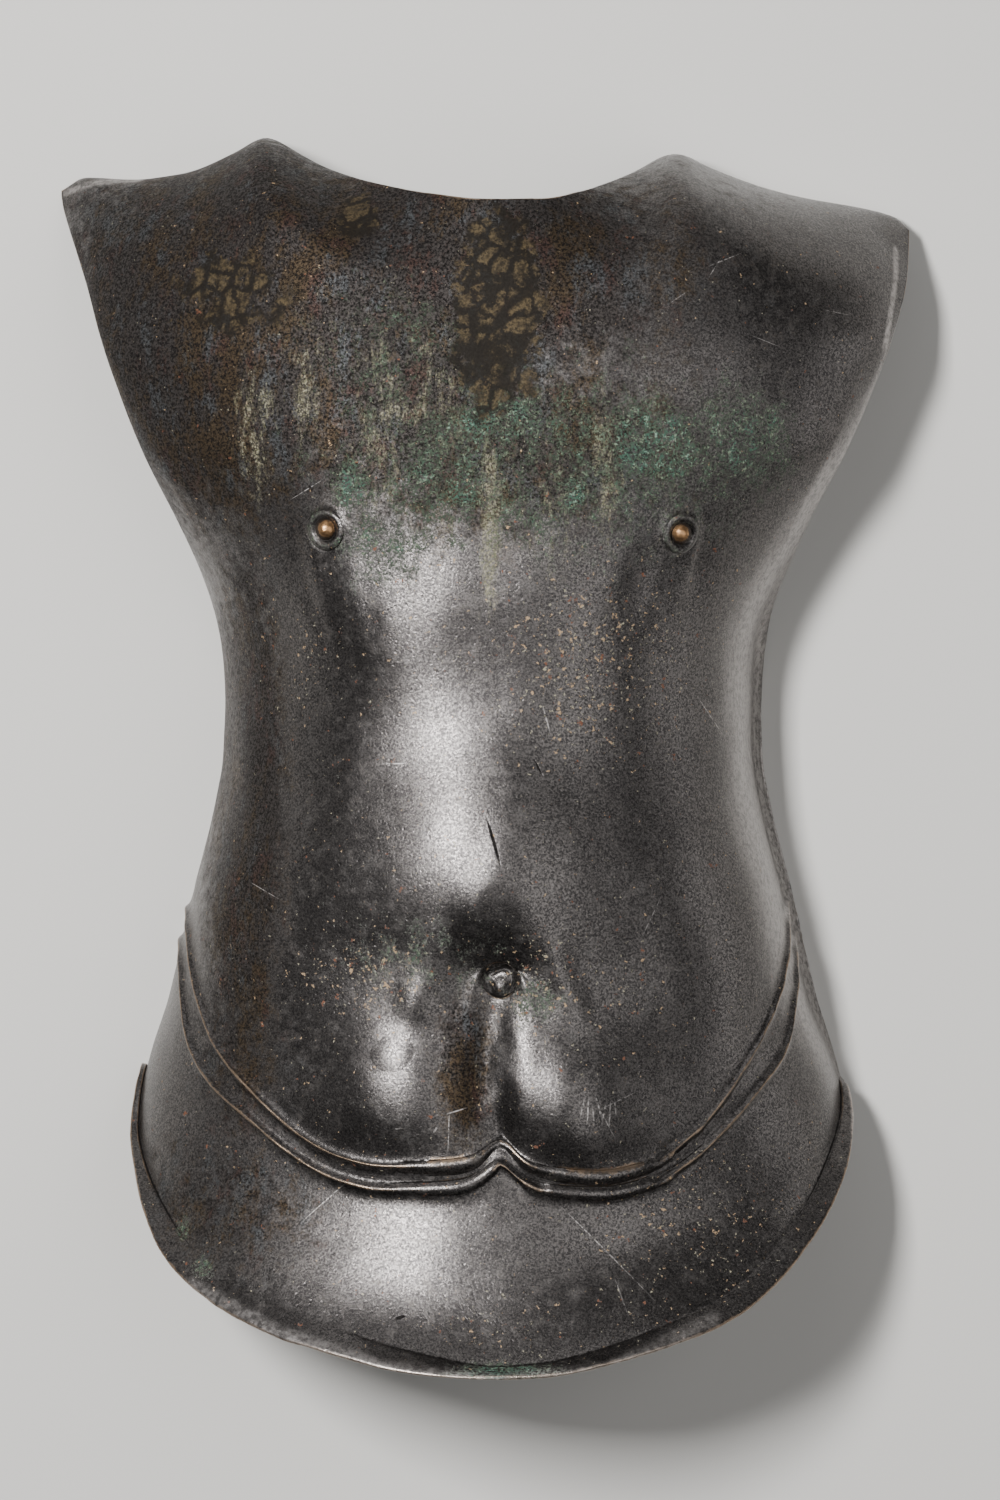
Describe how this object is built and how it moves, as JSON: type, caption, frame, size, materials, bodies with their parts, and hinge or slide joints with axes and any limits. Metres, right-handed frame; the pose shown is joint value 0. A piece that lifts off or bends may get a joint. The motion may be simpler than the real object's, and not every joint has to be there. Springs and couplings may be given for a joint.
{
  "type": "bronze muscle cuirass front plate",
  "caption": "Bronze breastplate hammered to a male torso, with raised iliac ridges, studded nipples and a flared, out-turned hem, lying on its rim.",
  "frame": {"origin": "centre of the bounding box, on the plane that the rim rests on", "axes": "+X to the viewer's right across the chest, +Y from the hem to the neck, +Z from the rim to the front of the chest"},
  "size_m": [0.352, 0.4992, 0.1495],
  "materials": {
    "bronze_sheet": "aged",
    "bronze_stud": "worn"
  },
  "bodies": {
    "root": {"breastplate": "bronze_sheet", "nipple_stud_left": "bronze_stud", "nipple_stud_right": "bronze_stud"}
  },
  "joints": []
}
